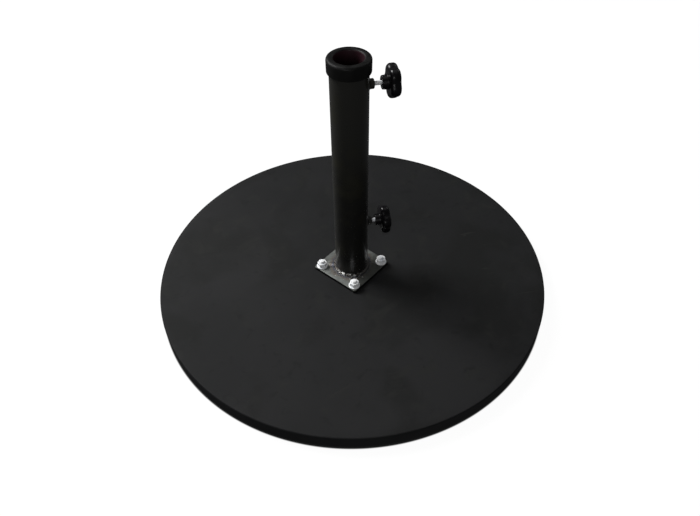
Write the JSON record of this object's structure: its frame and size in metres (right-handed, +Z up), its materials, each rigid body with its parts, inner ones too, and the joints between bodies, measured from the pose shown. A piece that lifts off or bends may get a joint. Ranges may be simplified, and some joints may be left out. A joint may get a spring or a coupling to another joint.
{
  "type": "parasol base",
  "caption": "Round steel plate base with a bolted upright tube stem, a moulded top collar and thumb screws that clamp a parasol pole.",
  "frame": {"origin": "on the floor, under the centre of the round plate and of the stem", "axes": "+Z up along the stem; +X towards the side that the thumb screws stand out from"},
  "size_m": [0.61, 0.61, 0.3901],
  "materials": {
    "plate_paint": "matte black powder coat over steel plate",
    "stem_paint": "satin black enamel",
    "bare_steel": "bare rolled steel, dull",
    "weld_steel": "rough fillet weld",
    "zinc": "bright zinc plate",
    "collar_plastic": "moulded black plastic",
    "knob_plastic": "semi-gloss moulded black plastic",
    "nylon": "natural nylon",
    "pad_rubber": "matte black rubber"
  },
  "bodies": {
    "base": {"base_plate": "plate_paint", "foot_pad_1": "pad_rubber", "foot_pad_2": "pad_rubber", "foot_pad_3": "pad_rubber", "foot_pad_4": "pad_rubber", "stem_flange": "bare_steel", "stem_tube": "stem_paint", "stem_weld": "weld_steel", "flange_bolt_1": "zinc", "flange_bolt_2": "zinc", "flange_bolt_3": "zinc", "flange_bolt_4": "zinc", "flange_washer_1": "zinc", "flange_washer_2": "zinc", "flange_washer_3": "zinc", "flange_washer_4": "zinc", "flange_nut_1": "zinc", "flange_nut_2": "zinc", "flange_nut_3": "zinc", "flange_nut_4": "zinc", "top_collar": "collar_plastic", "upper_weld_nut": "stem_paint", "lower_weld_nut": "stem_paint"},
    "upper_tip": {"upper_screw_tip": "nylon"},
    "upper_thumb_screw": {"upper_knob": "knob_plastic", "upper_screw": "zinc"},
    "lower_tip": {"lower_screw_tip": "nylon"},
    "lower_thumb_screw": {"lower_knob": "knob_plastic", "lower_screw": "zinc"}
  },
  "joints": [
    {"name": "upper_screw_travel", "type": "slide", "parent": "base", "child": "upper_tip", "axis": [1, 0, 0], "range_m": [-0.0096, 0.0035]},
    {"name": "upper_screw_turn", "type": "hinge", "parent": "upper_tip", "child": "upper_thumb_screw", "pos_m": [0.0413, 0, 0.3506], "axis": [1, 0, 0], "range_deg": [-3420, 1224]},
    {"name": "lower_screw_travel", "type": "slide", "parent": "base", "child": "lower_tip", "axis": [1, 0, 0], "range_m": [-0.0048, 0.0083]},
    {"name": "lower_screw_turn", "type": "hinge", "parent": "lower_tip", "child": "lower_thumb_screw", "pos_m": [0.0365, 0, 0.1199], "axis": [1, 0, 0], "range_deg": [-1692, 2952]}
  ],
  "couplings": [
    {"joint": "upper_screw_travel", "follows": "upper_screw_turn", "m_per_rad": 0.00015915},
    {"joint": "lower_screw_travel", "follows": "lower_screw_turn", "m_per_rad": 0.00015915}
  ]
}
